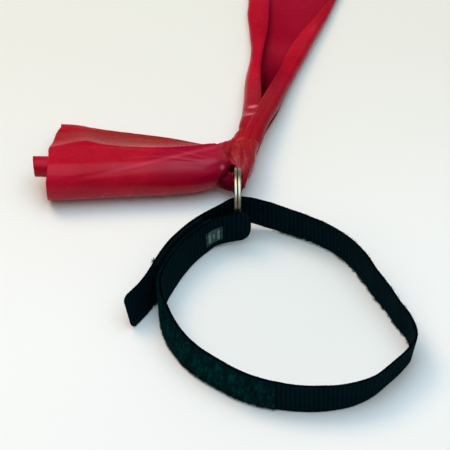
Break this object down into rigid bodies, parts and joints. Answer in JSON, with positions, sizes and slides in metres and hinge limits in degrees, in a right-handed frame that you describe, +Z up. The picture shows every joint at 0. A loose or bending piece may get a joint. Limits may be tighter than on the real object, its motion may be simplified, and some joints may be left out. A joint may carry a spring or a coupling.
{
  "type": "hook and loop training strap",
  "caption": "Narrow hook-and-loop strap closed in a loop, with a split ring on it and a knotted flat latex band on the ring.",
  "frame": {"origin": "middle of the strap's loop, on the surface it stands on", "axes": "+Z up along the strap's width, +Y from the loop towards the split ring and the band's folded tail, +X to the right of it"},
  "size_m": [0.1737, 0.3022, 0.0281],
  "materials": {
    "webbing": "woven, matte",
    "pile": "brushed loop pile, fuzzy",
    "hook": "stiff nylon hooks",
    "thread": "twisted polyester thread",
    "label": "woven satin",
    "ring": "nickel plated, polished",
    "latex": "glossy stretched latex sheet"
  },
  "bodies": {
    "strap": {"strap_webbing": "webbing", "loop_tape": "pile", "loop_tape_stitching": "thread", "woven_label": "label", "label_stitching": "thread", "inner_end_stitching": "thread"},
    "flap": {"flap_webbing": "webbing", "hook_tape": "hook", "hook_tape_stitching": "thread"},
    "tab": {"pull_tab": "webbing", "pull_tab_stitching": "thread"},
    "ring": {"split_ring": "ring"},
    "knot": {"band_knot": "latex"},
    "rolled_tail": {"band_rolled_tail": "latex", "band_roll_core": "latex"},
    "folded_tail": {"band_folded_tail": "latex"}
  },
  "joints": [
    {"name": "closure_peel", "type": "hinge", "parent": "strap", "child": "flap", "pos_m": [-0.03137, 0.04831, 0.0121], "axis": [-0.0358, 0.0642, -0.9973], "range_deg": [0, 40]},
    {"name": "tab_flex", "type": "hinge", "parent": "flap", "child": "tab", "pos_m": [-0.05991, 0.01273, 0.0095], "axis": [0.1667, -0.0747, -0.9832], "range_deg": [-8, 25]},
    {"name": "ring_swivel", "type": "hinge", "parent": "strap", "child": "ring", "pos_m": [-0.02227, 0.05247, 0.0134], "axis": [0, 0, 1], "range_deg": [-15, 10]},
    {"name": "band_swing", "type": "hinge", "parent": "ring", "child": "knot", "pos_m": [-0.02227, 0.05845, 0.0141], "axis": [1, 0, 0], "range_deg": [0, 70]},
    {"name": "rolled_tail_lift", "type": "hinge", "parent": "knot", "child": "rolled_tail", "pos_m": [-0.04, 0.0775, 0.01], "axis": [0, 1, 0], "range_deg": [0, 45]},
    {"name": "folded_tail_lift", "type": "hinge", "parent": "knot", "child": "folded_tail", "pos_m": [-0.0162, 0.104, 0.0082], "axis": [0.976, -0.218, 0], "range_deg": [0, 45]}
  ]
}
